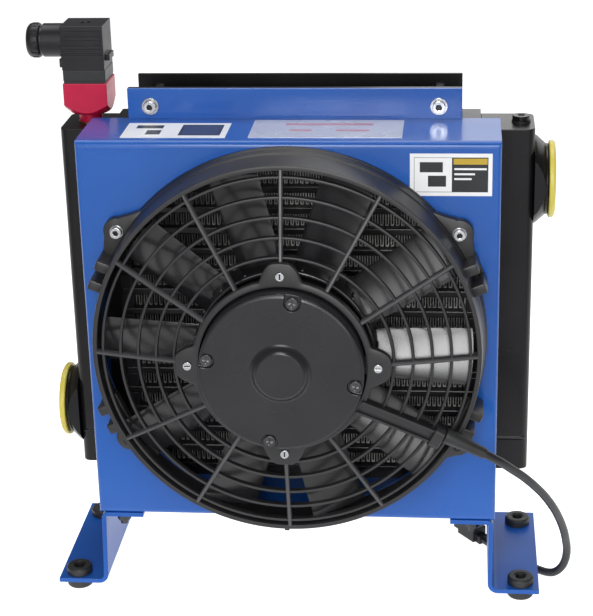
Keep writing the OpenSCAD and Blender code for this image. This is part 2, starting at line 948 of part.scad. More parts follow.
module foot() {
  color(blue)
    difference() {
      translate([0, foot_y1, 0])
        rotate([90, 0, 0])
          linear_extrude(foot_y1 - foot_y0)
            polygon(foot_section(foot_t, plate_z, base_h));
      box(foot_x0 - 1, foot_w0 + foot_t + 1, back_y - 3.5, foot_y1 + 1, base_h - 10, base_h + 1);
      translate([foot_w0 + foot_t + 1, 0, 0])
        rotate([0, -90, 0])
          linear_extrude(40)
            polygon([[12, foot_y0 - 1], [base_h + 1, foot_y0 - 1], [base_h + 1, front_y + 1],
              [base_h - 4, front_y + 1], [12, foot_y0]]);
      translate([foot_w0 + foot_t + 1, 0, 0])
        rotate([0, -90, 0])
          linear_extrude(40)
            polygon([[base_h - 11, back_y - 4], [base_h - 11, back_y + 6], [24, foot_y1 + 1],
              [base_h + 1, foot_y1 + 1], [base_h + 1, back_y - 4]]);
      for (sy = [-1, 1])
        zcyl(bolt_x, sy*bolt_y, plate_z - 1, plate_z + foot_t + 1, 6.05);
      for (y = foot_screw_y)
        zcyl(foot_screw_x, y, base_h - 10, base_h + 1, m5_clear);
    }
}

module left_foot() {
  mirror([1, 0, 0])
    foot();
}

module right_foot() {
  foot();
}

module foot_screws() {
  color(dark)
    for (sx = [-1, 1])
      for (y = foot_screw_y)
        union() {
          zcyl(sx*foot_screw_x, y, base_h + sheet, base_h + sheet + 3, 4.4);
          zcyl(sx*foot_screw_x, y, base_h - 11, base_h + sheet, m5_r);
        }
}

module foot_washers() {
  color(dark)
    for (sx = [-1, 1])
      for (y = foot_screw_y)
        difference() {
          zcyl(sx*foot_screw_x, y, base_h - foot_t - 1, base_h - foot_t, 5);
          zcyl(sx*foot_screw_x, y, base_h - foot_t - 2, base_h - foot_t + 1, m5_clear);
        }
}

module foot_nuts() {
  color(dark)
    for (sx = [-1, 1])
      for (y = foot_screw_y)
        difference() {
          zcyl(sx*foot_screw_x, y, base_h - foot_t - 5, base_h - foot_t - 1, 4.6, $fn = 6);
          zcyl(sx*foot_screw_x, y, base_h - foot_t - 6, base_h - foot_t, m5_r);
        }
}

module rubber_bushings() {
  color(rubber)
    for (sx = [-1, 1])
      for (sy = [-1, 1])
        translate([sx*bolt_x, sy*bolt_y, 0])
          rotate_extrude($fn = 48)
            polygon([[4.3, 0], [bush_od/2 - 1, 0], [bush_od/2, 1], [bush_od/2, plate_z],
              [6, plate_z], [6, plate_z + foot_t], [bush_od/2, plate_z + foot_t],
              [bush_od/2, bush_h - 1], [bush_od/2 - 1, bush_h], [4.3, bush_h]]);
}

module bushing_sleeves() {
  color(dark)
    for (sx = [-1, 1])
      for (sy = [-1, 1])
        difference() {
          zcyl(sx*bolt_x, sy*bolt_y, 0, bush_h - 0.6, 4.3);
          zcyl(sx*bolt_x, sy*bolt_y, -1, bush_h + 1, bolt_bore/2);
        }
}

// ---- cable ----
module cable_boot() {
  color(rubber)
    fan()
      rotate([0, 0, boot_a])
        translate([boot_r0, 0, boot_f])
          rotate([0, 90, 0])
            difference() {
              cylinder(h = boot_len, r1 = 5.2, r2 = cable_r + 1);
              translate([0, 0, -1])
                cylinder(h = boot_len + 2, r = cable_r + 0.4);
            }
}

function vunit(v) = v/norm(v);
function tangent(p, i) = vunit(i == 0 ? p[1] - p[0] : i == len(p) - 1 ? p[i] - p[i - 1]
  : p[i + 1] - p[i - 1]);
function side(t) = vunit(cross(t, [0, 1, 0.001]));
function tube_ring(p, i, r) = let(t = tangent(p, i), u = side(t), w = cross(t, u))
  [for (k = [0:7]) p[i] + r*(cos(k*45)*u + sin(k*45)*w)];

module tube_along(p, r) {
  n = len(p);
  pts = [for (i = [0:n - 1]) each tube_ring(p, i, r)];
  sides = [for (i = [0:n - 2]) for (k = [0:7])
    [i*8 + k, i*8 + (k + 1) % 8, (i + 1)*8 + (k + 1) % 8, (i + 1)*8 + k]];
  polyhedron(points = pts, faces = concat([[for (k = [7:-1:0]) k]], sides,
    [[for (k = [0:7]) (n - 1)*8 + k]]), convexity = 6);
}

module fan_cable() {
  color(black)
    tube_along(cable_pts, cable_r);
}

module fan_connector() {
  color(black)
    translate([116.4, 37.4, 5])
      rotate([0, 0, plug_a])
        union() {
          translate([-8, -5.5, -5])
            cube([18, 11, 10]);
          translate([-13, -3.5, -5])
            cube([6, 7, 5.8]);
          translate([10, -4, -3.5])
            cube([7, 8, 7]);
          translate([-2, -2, 5])
            cube([10, 4, 1.6]);
        }
}

// ---- labels ----
module guard_label() {
  color(paper)
    difference() {
      box(75, 124.5, front_y - 0.3, front_y, 276.5, 303);
      ycyl(0, front_y - 1, front_y + 1, fan_z, 123.4, $fn = 128);
    }
}

module top_label() {
  color(paper)
    box(-103, -38, -38.5, -4.5, top_z, top_z + 0.3);
}

module rating_plate() {
  color(steel)
    box(-24, 70, -37.5, 3, top_z, top_z + 0.4);
}

shroud();
core_tubes();
core_fins();
core_end_bars();
top_side_channel();
bottom_side_channel();
left_tank();
right_tank();
left_port_boss();
right_port_boss();
left_port_cap();
right_port_cap();
vent_plug();
vent_seal();
switch_body();
switch_seal();
switch_snap_disc();
connector_base();
connector_gasket();
connector_housing();
contact_block();
gland_nut();
gland_grommet();
connector_screw();
fan_housing();
motor_can();
motor_magnets();
motor_cover();
motor_cover_screws();
motor_mount_screws();
brush_plate();
motor_brushes();
motor_bearings();
motor_shaft();
motor_armature();
motor_commutator();
impeller();
impeller_clip();
fan_mount_screws();
fan_mount_washers();
fan_mount_nuts();
flange_screws();
flange_washers();
flange_nuts();
left_foot();
right_foot();
foot_screws();
foot_washers();
foot_nuts();
rubber_bushings();
bushing_sleeves();
cable_boot();
fan_cable();
fan_connector();
guard_label();
top_label();
rating_plate();
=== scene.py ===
"""Looks for the hydraulic oil cooler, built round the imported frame. Metres, Z up."""
import json
import math

import bmesh
import bpy
from mathutils import Matrix, Vector


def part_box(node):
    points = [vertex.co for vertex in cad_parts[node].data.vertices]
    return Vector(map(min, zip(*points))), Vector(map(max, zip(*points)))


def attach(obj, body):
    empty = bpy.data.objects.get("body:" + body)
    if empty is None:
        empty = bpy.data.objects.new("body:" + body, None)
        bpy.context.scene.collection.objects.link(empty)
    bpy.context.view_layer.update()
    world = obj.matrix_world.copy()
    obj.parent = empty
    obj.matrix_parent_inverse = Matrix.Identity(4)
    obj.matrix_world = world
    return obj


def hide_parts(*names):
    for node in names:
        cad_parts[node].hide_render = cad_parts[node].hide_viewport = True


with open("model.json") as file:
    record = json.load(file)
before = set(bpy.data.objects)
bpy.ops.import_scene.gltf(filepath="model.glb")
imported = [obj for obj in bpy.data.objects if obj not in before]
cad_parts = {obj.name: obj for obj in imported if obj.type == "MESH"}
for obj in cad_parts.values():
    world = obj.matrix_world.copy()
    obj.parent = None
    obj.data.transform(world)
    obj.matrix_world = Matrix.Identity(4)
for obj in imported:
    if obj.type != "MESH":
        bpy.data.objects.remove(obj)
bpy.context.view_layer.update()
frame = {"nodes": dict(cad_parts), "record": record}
nodes = frame["nodes"]
scene = bpy.context.scene

# ---- camera ----
YAW, PITCH, ROLL = (math.radians(a) for a in (5.7656, 20.8157, -1.4170))
CAMERA_AT = (0.10676, -1.06196, 0.59063)
LENS = 102.08


def make_camera():
    forward = Vector((-math.sin(YAW) * math.cos(PITCH), math.cos(YAW) * math.cos(PITCH),
                      -math.sin(PITCH)))
    level = Vector((math.cos(YAW), math.sin(YAW), 0))
    raised = level.cross(forward)
    right = math.cos(ROLL) * level + math.sin(ROLL) * raised
    up = math.cos(ROLL) * raised - math.sin(ROLL) * level
    data = bpy.data.cameras.new("camera")
    data.lens = LENS
    data.sensor_width = 36
    data.clip_start = 0.01
    data.clip_end = 50
    camera = bpy.data.objects.new("camera", data)
    scene.collection.objects.link(camera)
    camera.matrix_world = Matrix.Translation(CAMERA_AT) @ Matrix(
        (right, up, -forward)).transposed().to_4x4()
    scene.camera = camera


make_camera()

# ---- cord: the fan lead, from the boot to its plug ----
MM = 0.001
CABLE = [
    (100.2, -85.9, 134.3), (107, -85.9, 130.9), (114.5, -85.9, 127.2), (122, -85.9, 123.4),
    (127, -84.9, 120.2), (132.5, -82.3, 115.8), (139, -77.8, 109.2), (146, -72.2, 101.8),
    (152, -67.2, 94.4), (158, -61.6, 86), (163, -56, 77.4), (168, -49.4, 67), (172, -42.4, 56),
    (175.2, -35.6, 44.6), (177.2, -29.6, 34), (178.2, -25.4, 25.6), (178, -22.6, 18.2),
    (176.6, -20.6, 11.8), (174, -19.2, 7), (170.4, -18.2, 4), (166, -16.6, 3),
    (161, -13.6, 3), (155, -9.2, 3), (149.5, -4.4, 3), (144.3, 0.9, 3), (139.5, 6.6, 3),
    (134.8, 12.6, 3), (130.2, 18.9, 3), (127.2, 23, 3), (124.2, 27, 3)]
CABLE_R = 2.7


def smoothed(points, steps):
    """The points with steps more along a smooth curve between each two."""
    ends = [points[0], *points, points[-1]]
    out = []
    for a, b, c, d in zip(ends, ends[1:], ends[2:], ends[3:]):
        a, b, c, d = (Vector(p) for p in (a, b, c, d))
        for k in range(steps):
            t = k / steps
            out.append(0.5 * (2 * b + (c - a) * t + (2 * a - 5 * b + 4 * c - d) * t * t
                              + (3 * b - a - 3 * c + d) * t ** 3))
    return out + [Vector(points[-1])]


def tube(line, radius, sides):
    """Rings round a line, each carried on from the last without twist."""
    rings, across = [], Vector((0, 1, 0))
    for i, at in enumerate(line):
        along = (line[min(i + 1, len(line) - 1)] - line[max(i - 1, 0)]).normalized()
        across = (across - along * across.dot(along)).normalized()
        other = along.cross(across)
        rings.append([at + radius * (math.cos(a) * across + math.sin(a) * other)
                      for a in (2 * math.pi * k / sides for k in range(sides))])
    return rings


# ---- materials ----
class Finish:
    """A node material round one Principled shader."""

    def __init__(self, name, **fixed):
        self.material = bpy.data.materials.new(name)
        self.material.use_nodes = True
        self.tree = self.material.node_tree
        self.tree.nodes.clear()
        output = self.tree.nodes.new("ShaderNodeOutputMaterial")
        self.shader = self.tree.nodes.new("ShaderNodeBsdfPrincipled")
        self.tree.links.new(self.shader.outputs["BSDF"], output.inputs["Surface"])
        self.place = self.tree.nodes.new("ShaderNodeTexCoord").outputs["Object"]
        for key, value in fixed.items():
            self.shader.inputs[key.replace("_", " ")].default_value = value

    def node(self, kind, **inputs):
        made = self.tree.nodes.new(kind)
        for key, value in inputs.items():
            socket = made.inputs[key.replace("_", " ")]
            if isinstance(value, bpy.types.NodeSocket):
                self.tree.links.new(value, socket)
            else:
                socket.default_value = value
        return made

    def noise(self, scale, detail=3.0, stretch=(1, 1, 1)):
        placed = self.node("ShaderNodeMapping", Vector=self.place, Scale=stretch)
        return self.node("ShaderNodeTexNoise", Vector=placed.outputs["Vector"], Scale=scale,
                         Detail=detail).outputs["Fac"]

    def ramp(self, fac, stops):
        made = self.node("ShaderNodeValToRGB", Fac=fac)
        ramp = made.color_ramp
        while len(ramp.elements) < len(stops):
            ramp.elements.new(0.5)
        for element, (at, colour) in zip(ramp.elements, stops):
            element.position = at
            element.color = (*colour, 1)
        return made.outputs["Color"]

    def spread(self, fac, low, high):
        return self.node("ShaderNodeMapRange", Value=fac, From_Min=0.3, From_Max=0.7,
                         To_Min=low, To_Max=high).outputs["Result"]

    def set(self, key, socket):
        self.tree.links.new(socket, self.shader.inputs[key])

    def bump(self, layers):
        normal = None
        for fac, strength, depth in layers:
            made = self.node("ShaderNodeBump", Height=fac, Strength=strength, Distance=depth)
            if normal is not None:
                self.tree.links.new(normal, made.inputs["Normal"])
            normal = made.outputs["Normal"]
        self.set("Normal", normal)


def surface(name, dark, light, colour_scale, rough, rough_scale, bumps, **fixed):
    """Colour and roughness from noise, and bump layers of (scale, strength, depth)."""
    made = Finish(name, **fixed)
    made.set("Base Color", made.ramp(made.noise(colour_scale), [(0.3, dark), (0.7, light)]))
    made.set("Roughness", made.spread(made.noise(rough_scale), *rough))
    made.bump([(made.noise(scale, 2.0), strength, depth) for scale, strength, depth in bumps])
    return made.material


BLUE = surface("blue_gloss_paint", (0.008, 0.082, 0.365), (0.012, 0.102, 0.425), 14,
               (0.18, 0.29), 9, [(420, 0.25, 0.00006), (60, 0.15, 0.00012)],
               Coat_Weight=0.15, Coat_Roughness=0.06, Specular_IOR_Level=0.4)
FOOT_BLUE = surface("blue_foot_paint", (0.008, 0.078, 0.35), (0.012, 0.098, 0.41), 14,
                    (0.30, 0.42), 9, [(420, 0.25, 0.00006), (60, 0.15, 0.00012)],
                    Specular_IOR_Level=0.3)
BLACK = surface("black_satin_paint", (0.0055, 0.005, 0.006), (0.0095, 0.009, 0.010), 30,
                (0.24, 0.36), 12, [(500, 0.3, 0.00008), (90, 0.2, 0.00015)],
                Specular_IOR_Level=0.28)
TUBE = surface("black_core_paint", (0.008, 0.008, 0.009), (0.024, 0.024, 0.026), 45,
               (0.24, 0.36), 30, [(700, 0.4, 0.0001)])
GUARD = surface("moulded_black_plastic", (0.017, 0.0165, 0.018), (0.024, 0.023, 0.0255), 40,
                (0.36, 0.46), 25, [(1600, 0.35, 0.00006)])
# painted sheen: the spokes are a copy of the guard plastic, a little glossier, with a base colour
# about three times lighter that stands in for their highlights
RIB_PAINTED_SHEEN = surface("guard_ribs_painted_sheen", (0.052, 0.051, 0.054), (0.068, 0.067, 0.071), 40,
              (0.28, 0.38), 25, [(1600, 0.3, 0.00005)])
COVER = surface("satin_motor_paint", (0.015, 0.0145, 0.0175), (0.022, 0.021, 0.025), 25,
                (0.24, 0.32), 18, [(1300, 0.3, 0.00005), (45, 0.1, 0.0002)],
                Specular_IOR_Level=0.42)
BLADE = surface("gloss_blade_plastic", (0.012, 0.012, 0.013), (0.018, 0.018, 0.020), 30,
                (0.18, 0.25), 20, [(900, 0.2, 0.00004)], Specular_IOR_Level=0.7)
HOUSING = surface("connector_black_plastic", (0.011, 0.010, 0.013), (0.017, 0.016, 0.019), 60,
                  (0.34, 0.44), 40, [(2200, 0.4, 0.00005)], Specular_IOR_Level=0.3)
BASE = surface("connector_grey_plastic", (0.022, 0.024, 0.026), (0.030, 0.032, 0.034), 60,
               (0.34, 0.44), 40, [(2200, 0.4, 0.00005)], Specular_IOR_Level=0.3)
RUBBER = surface("moulded_rubber", (0.011, 0.011, 0.012), (0.020, 0.021, 0.021), 90,
                 (0.42, 0.58), 60, [(1400, 0.5, 0.0001), (200, 0.3, 0.0002)])
JACKET = surface("cable_jacket", (0.009, 0.009, 0.011), (0.015, 0.015, 0.018), 70,
                 (0.32, 0.46), 50, [(1100, 0.3, 0.00006)])
ZINC = surface("bright_zinc", (0.38, 0.39, 0.41), (0.50, 0.51, 0.53), 200,
               (0.20, 0.30), 160, [(1500, 0.25, 0.00004)], Metallic=1.0)
OXIDE = surface("black_oxide_steel", (0.05, 0.05, 0.052), (0.09, 0.09, 0.094), 300,
                (0.34, 0.5), 260, [(1500, 0.3, 0.00005)], Metallic=0.8)
SOOTED = surface("blackened_cover_screws", (0.07, 0.07, 0.073), (0.12, 0.12, 0.125), 300,
                 (0.16, 0.24), 260, [(1500, 0.25, 0.00004)], Metallic=1.0)
RED = surface("red_anodised", (0.46, 0.006, 0.046), (0.56, 0.009, 0.060), 40,
              (0.30, 0.40), 60, [(1500, 0.2, 0.00004)], Metallic=0.2, Coat_Weight=0.08,
              Coat_Roughness=0.25, Specular_IOR_Level=0.35)
YELLOW = surface("yellow_cap_plastic", (0.60, 0.50, 0.07), (0.68, 0.58, 0.10), 50,
                 (0.30, 0.42), 40, [(900, 0.3, 0.00008)], Subsurface_Weight=0.15,
                 Subsurface_Scale=0.003)
COPPER = surface("copper_washer", (0.55, 0.28, 0.14), (0.72, 0.40, 0.22), 300,
                 (0.25, 0.4), 200, [(1500, 0.2, 0.00004)], Metallic=1.0)
FERRITE = surface("ferrite", (0.05, 0.05, 0.052), (0.08, 0.08, 0.082), 200,
                  (0.6, 0.75), 120, [(1500, 0.4, 0.00008)])
PHENOLIC = surface("phenolic_board", (0.16, 0.08, 0.03), (0.22, 0.11, 0.045), 120,
                   (0.45, 0.6), 90, [(1500, 0.3, 0.00006)])
WINDING = surface("enamelled_winding", (0.30, 0.12, 0.04), (0.46, 0.20, 0.07), 500,
                  (0.3, 0.45), 300, [(900, 0.6, 0.0003)], Metallic=0.6)
PAPER = surface("label_white", (0.78, 0.79, 0.81), (0.84, 0.85, 0.87), 60,
                (0.28, 0.36), 40, [(500, 0.1, 0.00004)])
INK = surface("label_dark_ink", (0.010, 0.011, 0.015), (0.016, 0.018, 0.022), 80,
              (0.30, 0.38), 50, [(500, 0.1, 0.00004)])
SLATE = surface("label_slate_ink", (0.026, 0.036, 0.09), (0.036, 0.048, 0.11), 80,
                (0.30, 0.38), 50, [(500, 0.1, 0.00004)])
AMBER = surface("label_yellow_ink", (0.46, 0.31, 0.02), (0.52, 0.36, 0.03), 80,
                (0.30, 0.38), 50, [(500, 0.1, 0.00004)])
MAROON = surface("label_red_ink", (0.42, 0.20, 0.25), (0.48, 0.25, 0.30), 80,
                 (0.30, 0.38), 50, [(500, 0.1, 0.00004)])
PLATE = surface("satin_label_foil", (0.50, 0.52, 0.60), (0.56, 0.58, 0.66), 50,
                (0.22, 0.32), 30, [(400, 0.15, 0.00004)], Metallic=0.25)


def fin_finish():
    """Light at the front and back fin tips, near-black deeper in the core; painted shade darkens
    the fins towards the left.
    """
    made = Finish("core_fin_metal")
    parts = made.node("ShaderNodeSeparateXYZ", Vector=made.place)
    depth = made.node("ShaderNodeMapRange", Value=parts.outputs["Y"], From_Min=0.0165,
                      From_Max=0.021, To_Min=0.0, To_Max=1.0).outputs["Result"]
    back = made.node("ShaderNodeMapRange", Value=parts.outputs["Y"], From_Min=0.0455,
                     From_Max=0.0501, To_Min=1.0, To_Max=0.0).outputs["Result"]
    inside = made.tree.nodes.new("ShaderNodeMath")
    inside.operation = "MULTIPLY"
    made.tree.links.new(depth, inside.inputs[0])
    made.tree.links.new(back, inside.inputs[1])
    tips = made.ramp(made.noise(70), [(0.35, (0.34, 0.34, 0.33)), (0.65, (0.78, 0.77, 0.74))])
    mix = made.tree.nodes.new("ShaderNodeMix")
    mix.data_type = "RGBA"
    made.tree.links.new(inside.outputs["Value"], mix.inputs["Factor"])
    # painted shade: the fin colour fades to near-black towards the left of the core, where shadow
    # falls
    painted_shade_left_fac = made.node("ShaderNodeMapRange", Value=parts.outputs["X"], From_Min=-0.07,
                      From_Max=0.0, To_Min=0.2, To_Max=1.0).outputs["Result"]
    painted_shade_mix = made.tree.nodes.new("ShaderNodeMix")
    painted_shade_mix.data_type = "RGBA"
    painted_shade_mix.inputs["A"].default_value = (0.02, 0.02, 0.02, 1)
    made.tree.links.new(painted_shade_left_fac, painted_shade_mix.inputs["Factor"])
    made.tree.links.new(tips, painted_shade_mix.inputs["B"])
    made.tree.links.new(painted_shade_mix.outputs["Result"], mix.inputs["A"])
    mix.inputs["B"].default_value = (0.008, 0.008, 0.009, 1)
    made.set("Base Color", mix.outputs["Result"])
    made.set("Roughness", made.spread(made.noise(90), 0.36, 0.5))
    made.bump([(made.noise(900, 2.0), 0.3, 0.00005)])
    return made.material


FIN = fin_finish()


def head_finish_painted_shade(name, centre, face, floor):
    """Zinc on the outer face of each head; painted shade in the socket, on the sides and on heads
    low down.
    """
    made = Finish(name, Metallic=1.0)
    parts = made.node("ShaderNodeSeparateXYZ", Vector=made.place)
    out = made.tree.nodes.new("ShaderNodeMath")
    out.operation = "SUBTRACT"
    made.tree.links.new(parts.outputs["Y"], out.inputs[0])
    out.inputs[1].default_value = centre
    away = made.tree.nodes.new("ShaderNodeMath")
    away.operation = "ABSOLUTE"
    made.tree.links.new(out.outputs["Value"], away.inputs[0])
    # painted shade: dark away from the head's outer face, in the socket and on the sides
    bright = made.node("ShaderNodeMapRange", Value=away.outputs["Value"], From_Min=face - 0.0004,
                       From_Max=face, To_Min=0.0, To_Max=1.0).outputs["Result"]
    # painted shade: heads below floor height are dark all over
    high = made.node("ShaderNodeMapRange", Value=parts.outputs["Z"], From_Min=floor,
                     From_Max=floor + 0.01, To_Min=0.0, To_Max=1.0).outputs["Result"]
    zinc_over_painted_shade = made.tree.nodes.new("ShaderNodeMath")
    zinc_over_painted_shade.operation = "MULTIPLY"
    made.tree.links.new(bright, zinc_over_painted_shade.inputs[0])
    made.tree.links.new(high, zinc_over_painted_shade.inputs[1])
    made.set("Base Color", made.ramp(zinc_over_painted_shade.outputs["Value"], [(0.0, (0.035, 0.035, 0.037)),
                                                             (1.0, (0.55, 0.56, 0.58))]))
    made.set("Roughness", made.spread(made.noise(160), 0.2, 0.3))
    made.bump([(made.noise(1500, 2.0), 0.25, 0.00004)])
    return made.material


FINISH = {
    "black_steel": OXIDE,
    "blue_paint": BLUE, "black_paint": BLACK, "yellow_plastic": YELLOW, "zinc_steel": ZINC,
    "black_rubber": RUBBER, "cable_jacket": JACKET, "red_anodised": RED, "copper_seal": COPPER,
    "black_plastic": HOUSING, "impeller_plastic": BLADE, "ferrite": FERRITE,
    "phenolic": PHENOLIC, "winding": WINDING, "label": PAPER, "plate": PLATE,
    "core_aluminium": TUBE}
OWN_FINISH = {
    "core_fins": FIN, "motor_cover": COVER, "motor_can": COVER, "fan_housing": GUARD,
    "connector_base": BASE, "core_end_bars": TUBE, "vent_plug": BLACK,
    "left_foot": FOOT_BLUE, "right_foot": FOOT_BLUE,
    "fan_mount_screws": head_finish_painted_shade("zinc_fan_screws", 0.0, 0.0577, 0.15),
    "fan_mount_washers": head_finish_painted_shade("zinc_fan_washers", 0.0, 0.0549, 0.15),
    "motor_cover_screws": SOOTED,
    "motor_mount_screws": head_finish_painted_shade("zinc_mount_screws", 0.0, 0.1, 0.0),
    "flange_screws": head_finish_painted_shade("zinc_flange_screws", 0.0295, 0.0254, 0.0)}
SLOT = {part["node"]: part["material_slot"] for part in frame["record"]["subparts"]}

for name, node in nodes.items():
    finish = OWN_FINISH.get(name, FINISH[SLOT[name]])
    if not node.material_slots:
        node.data.materials.append(finish)
    for held in node.material_slots:
        held.material = finish


# ---- edges of carried-over CAD nodes ----
def ease(name, width, segments=2):
    """Rounds a CAD node's sharp edges by width millimetres, with weighted normals."""
    node = nodes[name]
    weld = node.modifiers.new("weld", "WELD")
    weld.merge_threshold = 0.00001
    flat = node.modifiers.new("flat", "DECIMATE")
    flat.decimate_type = "DISSOLVE"
    flat.angle_limit = math.radians(0.5)
    bevel = node.modifiers.new("edges", "BEVEL")
    bevel.width = width * MM
    bevel.segments = segments
    bevel.limit_method = "ANGLE"
    bevel.angle_limit = math.radians(32)
    bevel.use_clamp_overlap = False
    bevel.miter_outer = "MITER_ARC"
    even = node.modifiers.new("normals", "WEIGHTED_NORMAL")
    even.keep_sharp = True
    even.weight = 60


EASED = {
    "shroud": 0.35, "core_tubes": 0.9, "core_end_bars": 0.3, "top_side_channel": 0.4,
    "bottom_side_channel": 0.4, "left_tank": 0.5, "right_tank": 0.5, "left_port_boss": 0.3,
    "right_port_boss": 0.3, "left_port_cap": 0.3, "right_port_cap": 0.3, "vent_plug": 0.25,
    "switch_body": 0.5, "connector_base": 0.4, "connector_housing": 0.35, "gland_nut": 0.25,
    "motor_cover": 0.35, "left_foot": 0.4, "right_foot": 0.4, "fan_connector": 0.4,
    "flange_screws": 0.3, "flange_washers": 0.2, "fan_mount_screws": 0.3,
    "fan_mount_washers": 0.2, "motor_cover_screws": 0.15, "motor_mount_screws": 0.15,
    "rubber_bushings": 0.3, "bushing_sleeves": 0.15}
for name, width in EASED.items():
    ease(name, width)


# ---- mesh building ----
class Build:
    """Closed shells gathered into one mesh, each face with a material number."""

    def __init__(self):
        self.points, self.faces, self.numbers = [], [], []

    def add(self, points, faces, number=0):
        start = len(self.points)
        self.points += [tuple(c * MM for c in p) for p in points]
        self.faces += [tuple(start + i for i in face) for face in faces]
        self.numbers += [number] * len(faces)

    def piece(self, name, materials, body, replaced=(), angle=35):
        mesh = bpy.data.meshes.new(name)
        mesh.from_pydata(self.points, [], self.faces)
        for material in materials:
            mesh.materials.append(material)
        mesh.polygons.foreach_set("material_index", self.numbers)
        work = bmesh.new()
        work.from_mesh(mesh)
        bmesh.ops.recalc_face_normals(work, faces=work.faces)
        work.to_mesh(mesh)
        work.free()
        mesh.shade_smooth()
        mesh.set_sharp_from_angle(angle=math.radians(angle))
        made = bpy.data.objects.new(name, mesh)
        scene.collection.objects.link(made)
        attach(made, body)
        if replaced:
            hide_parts(*replaced)
        return made


def soften(points, radius, steps=3):
    """A closed outline with its corners rounded."""
    out = []
    for i, point in enumerate(points):
        here = Vector(point)
        before = Vector(points[i - 1]) - here
        after = Vector(points[(i + 1) % len(points)]) - here
        reach = min(radius, before.length * 0.45, after.length * 0.45)
        start = here + before.normalized() * reach
        end = here + after.normalized() * reach
        for k in range(steps + 1):
            t = k / steps
            out.append(tuple((1 - t) ** 2 * start + 2 * t * (1 - t) * here + t * t * end))
    return out


def sweep(rings, closed):
    """Faces between equal rings of points, capped at the ends unless closed."""
    count, size = len(rings), len(rings[0])
    faces = []
    for i in range(count if closed else count - 1):
        j = (i + 1) % count
        for k in range(size):
            n = (k + 1) % size
            faces.append((i * size + k, i * size + n, j * size + n, j * size + k))
    if not closed:
        faces.append(tuple(range(size - 1, -1, -1)))
        faces.append(tuple((count - 1) * size + k for k in range(size)))
    return [p for ring in rings for p in ring], faces


def inset(outline, edge):
    """A closed plane outline moved inwards by edge."""
    area = sum(a[0] * b[1] - b[0] * a[1] for a, b in zip(outline, outline[1:] + outline[:1]))
    side = 1 if area > 0 else -1
    out = []
    for i, (x, y) in enumerate(outline):
        ax, ay = outline[i - 1]
        bx, by = outline[(i + 1) % len(outline)]
        along = Vector((bx - ax, by - ay))
        if along.length < 1e-9:
            out.append((x, y))
            continue
        along.normalize()
        out.append((x - along.y * edge * side, y + along.x * edge * side))
    return out


def prism(outline, low, high, edge, place):
    """An extruded outline with eased rims; place turns (x, y, height) into a point."""
    rim = inset(outline, edge)
    mid = inset(outline, edge * 0.3)
    layers = [(rim, low), (mid, low + edge * 0.3), (outline, low + edge),
              (outline, high - edge), (mid, high - edge * 0.3), (rim, high)]
    return sweep([[place(x, y, h) for x, y in ring] for ring, h in layers], False)


# ---- fan guard ----
FRONT_Y, FAN_Z = -47.0, 184.5
BARREL = [(120.5, 0), (123, 0), (123, 3), (122.3, 3.6), (121.7, 10.5), (120.9, 11.3),
          (119.9, 29.5), (119.6, 33), (116.8, 33), (116.9, 29)]
RINGS = [(112.9, 33.6), (101.4, 36.9), (89.9, 39.9), (78.3, 42.7), (66.8, 45.3)]
SPOKE_TOP = [(53, 50.4), (60, 48.5), (66.8, 46.4), (78.3, 43.7), (89.9, 40.9), (101.4, 37.9),
             (108, 36.1), (112.9, 34.6), (117.5, 33.3)]
RIB_DEPTH = 4.6
HUB_INNER, HUB_OUTER, HUB_LOW, HUB_TOP = 51.0, 55.0, 46.5, 52.0
LOBE_REACH = 65.4
DUCT_ANGLE = -28.5
EAR_X, EAR_Z, EAR_R = 105.3, 70, 8.5
CLIP_ANGLES = (21.8, 158.2, 203.5, 336.5)
CLIP_REACH, CLIP_HEIGHT, CLIP_BASE_REACH, CLIP_BASE_HEIGHT = 128.3, 24, 128, 3.2
RING_SIDE = 120.9


def in_fan(x, y, depth, turn=0.0):
    """A fan-frame point: x and y across the fan, depth in front of the shroud."""
    c, s = math.cos(turn), math.sin(turn)
    return (x * c - y * s, FRONT_Y - depth, FAN_Z + x * s + y * c)


def turned(profile, count):
    """A closed profile of (radius, depth) turned round the fan axis."""
    rings = [[in_fan(r, 0, d, 2 * math.pi * i / count) for r, d in profile]
             for i in range(count)]
    return sweep(rings, True)


def lobe_radius(angle):
    near = abs((math.degrees(angle) + 45) % 90 - 45)
    t = min(max((near - 4.2) / 9, 0), 1)
    return HUB_OUTER + (LOBE_REACH - HUB_OUTER) * (1 - t ** 1.6)


def hub_ring():
    count, rings = 288, []
    for i in range(count):
        angle = 2 * math.pi * i / count
        outer = lobe_radius(angle)
        profile = soften([(HUB_INNER, HUB_LOW), (outer, HUB_LOW), (outer, HUB_TOP - 0.5),
                          (HUB_INNER + 1.2, HUB_TOP), (HUB_INNER, HUB_TOP)], 0.7, 2)
        rings.append([in_fan(r, 0, d, angle) for r, d in profile])
    return sweep(rings, True)


def spoke(angle, start):
    """A rib with a rounded crest that follows the domed guard."""
    top = [(r, f) for r, f in SPOKE_TOP if r > start]
    rings = []
    for r, f in [(start, 50.4 - (start - 53) * 0.27)] + top:
        low = f - RIB_DEPTH
        ring = [(-1.3, low + 0.4), (-1.3, f - 1.2), (-1.0, f - 0.5), (-0.5, f - 0.1),
                (0.5, f - 0.1), (1.0, f - 0.5), (1.3, f - 1.2), (1.3, low + 0.4),
                (0.9, low), (-0.9, low)]
        rings.append([in_fan(r, y, d, angle) for y, d in ring])
    return sweep(rings, False)


def ear(sx, sz):
    outline = [(88, 84), (97, 80.6), (103, 79)]
    outline += [(EAR_X + EAR_R * math.cos(math.radians(a)),
                 EAR_Z + EAR_R * math.sin(math.radians(a)))
                for a in range(100, -30, -12)]
    outline += [(115.2, 52), (117.6, 40), (112.5, 38.5), (100, 66), (86, 80)]
    outline = [(sx * x, sz * y) for x, y in soften(outline, 1.6, 2)]
    return prism(outline, 0, 7, 0.7, in_fan)


